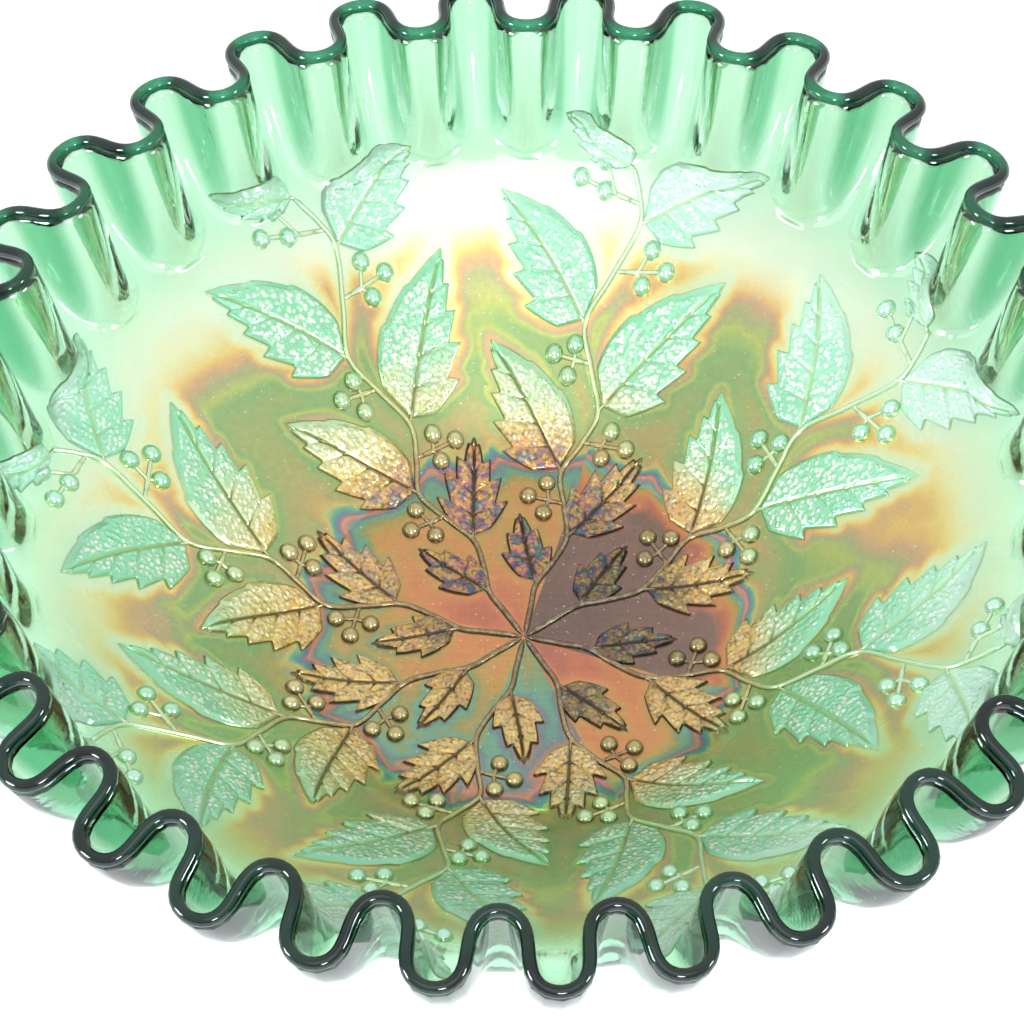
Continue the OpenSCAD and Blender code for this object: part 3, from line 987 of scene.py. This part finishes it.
def berry_stalks(material):
    shape = Shape()
    for a in SPRAY_ANGLES:
        for cluster in CLUSTERS.values():
            root = np.array(cluster[0], float)
            middle = np.array(cluster[2], float)
            fork = root + (middle - root) * 0.42
            for berry in cluster[1:]:
                berry = np.array(berry, float)
                bend = fork * 0.45 + berry * 0.55
                path = smooth_path([root, (root + fork) / 2, fork, bend, berry], 5)
                add_ridge(shape, path, STALK_W, STALK_H, a)
    return shape.build("berry_stalks", [material], ["berry_stalks"])


def berry_ring(number, material):
    """Rounded drops of glass, a little flattened, with a fine collar where they meet the wall, painted
    in shade.
    """
    shape = Shape()
    turns, rings = 20, 8
    t = np.arange(turns) * 2 * np.pi / turns
    for a in SPRAY_ANGLES:
        for berry in CLUSTERS[number][1:]:
            centre = turn(np.array(berry, float), a)
            rows = [(BERRY_R * 1.02, -SINK)]
            for k in range(rings):
                lift = math.pi / 2 * k / rings
                rows.append((BERRY_R * math.cos(lift), BERRY_RISE * math.sin(lift)))
            points = [
                surface(centre[0] + r * np.cos(t), centre[1] + r * np.sin(t), h) for r, h in rows
            ]
            top = surface(centre[0], centre[1], BERRY_RISE)
            low = surface(centre[0], centre[1], -SINK)
            count = len(rows)
            faces = grid_faces(count, turns, wrap=True)
            peak, base = count * turns, count * turns + 1
            upper = (count - 1) * turns
            faces += [[peak, upper + j, upper + (j + 1) % turns] for j in range(turns)]
            faces += [[base, (j + 1) % turns, j] for j in range(turns)]
            # The mark falls to -1 towards the base, which is painted in shade.
            marks = np.repeat([-((r / BERRY_R) ** 6) for r, _ in rows], turns)
            shape.add(np.vstack([*points, top[None], low[None]]), faces, np.append(marks, [0.0, -1.0]))
    return shape.build(f"berries_ring_{number}", [material], [f"berries_ring_{number}"])


# ---------------------------------------------------------------- surroundings


def stage():
    """Plain pale floor."""
    mesh = bpy.data.meshes.new("floor")
    reach = 3.0
    corners = [(-reach, -reach, 0), (reach, -reach, 0), (reach, reach, 0), (-reach, reach, 0)]
    mesh.from_pydata(corners, [], [[0, 1, 2, 3]])
    mesh.update()
    floor = bpy.data.objects.new("floor", mesh)
    bpy.context.scene.collection.objects.link(floor)
    m, n, shader = start_material("pale_floor")
    place = n.new("ShaderNodeTexCoord").outputs["Object"]
    tint = n.wander(place, 8, detail=3.0)
    n.put(shader.inputs["Base Color"], n.mix(tint, *map(linear, FLOOR_TINTS)))
    shader.inputs["Roughness"].default_value = 0.6
    shader.inputs["Emission Color"].default_value = (1, 1, 1, 1)
    shader.inputs["Emission Strength"].default_value = 0.3
    mesh.materials.append(m)


def area_light(name, at, aim, size, power, colour=(1, 1, 1)):
    data = bpy.data.lights.new(name, "AREA")
    data.shape = "DISK"
    data.size = size
    data.energy = power
    data.color = colour
    light = bpy.data.objects.new(name, data)
    light.location = at
    light.rotation_mode = "QUATERNION"
    light.rotation_quaternion = (Vector(aim) - Vector(at)).to_track_quat("-Z", "Y")
    bpy.context.scene.collection.objects.link(light)


def lights():
    """High-key surroundings, brightest overhead and behind, dimmer towards the camera."""
    world = bpy.data.worlds.new("soft_studio")
    bpy.context.scene.world = world
    world.use_nodes = True
    n = Nodes(world.node_tree)
    place = n.new("ShaderNodeTexCoord").outputs["Generated"]
    way = n.new("ShaderNodeSeparateXYZ", Vector=place)
    height = n.span(way.outputs["Z"], -0.1, 0.75)
    back = n.span(way.outputs["Y"], -0.9, 0.6)
    bright = n.math("MULTIPLY_ADD", back, 0.45, n.math("MULTIPLY", height, 0.55))
    shade = n.mix(bright, (0.6, 0.62, 0.64, 1), (1.0, 1.0, 1.0, 1))
    background = world.node_tree.nodes["Background"]
    n.put(background.inputs["Color"], shade)
    background.inputs["Strength"].default_value = 1.1
    area_light("overhead", (0.0, -0.62, 1.1), (0, 0.03, 0.05), 0.9, 2.2)
    area_light("left_window", (-0.95, -0.45, 0.42), (0, 0, 0.06), 0.34, 13.0, (0.9, 0.94, 1.0))
    area_light("right_window", (0.9, -0.5, 0.5), (0, 0, 0.06), 0.26, 7.0, (0.9, 0.94, 1.0))
    area_light("front_window", (0.1, -0.95, 0.5), (0, 0, 0.06), 0.24, 6.0, (0.9, 0.94, 1.0))


def camera():
    """Long lens at the photo's angle: 53.5 degrees above the horizon, from the front."""
    elevation, roll = math.radians(53.5), math.radians(-0.6)
    distance = 0.9934
    aim_right, aim_up = -0.00226, 0.02306
    forward = Vector((0, math.cos(elevation), -math.sin(elevation)))
    right, up = Vector((1, 0, 0)), Vector((0, math.sin(elevation), math.cos(elevation)))
    spin = Matrix.Rotation(-roll, 3, forward)
    right, up = spin @ right, spin @ up
    data = bpy.data.cameras.new("camera")
    data.lens = 189.3
    data.sensor_width = 36.0
    cam = bpy.data.objects.new("camera", data)
    centre = Vector((0, 0, FLOOR_Z * MM))
    cam.matrix_world = Matrix.Translation(
        centre + right * aim_right + up * aim_up - forward * distance
    ) @ Matrix((right, up, -forward)).transposed().to_4x4()
    bpy.context.scene.collection.objects.link(cam)
    bpy.context.scene.camera = cam


# ---------------------------------------------------------------- scene

camera()
stage()
lights()
bpy.context.scene.view_settings.view_transform = "Standard"

leaf_material = leaf_glass()
stem_material = plain_relief("stem_film", STEM_COLOURS, 0.5, 0.16)
berry_material = plain_relief("berry_film", BERRY_COLOURS, 0.55, 0.08)

glass_body(inside_glass(), bare_glass())
lip_bead(lip_glass())
foot_ring(foot_glass())
spray_stems(stem_material)
berry_stalks(stem_material)
for ring_number in range(1, 7):
    leaf_ring(ring_number, leaf_material)
for ring_number in CLUSTERS:
    berry_ring(ring_number, berry_material)
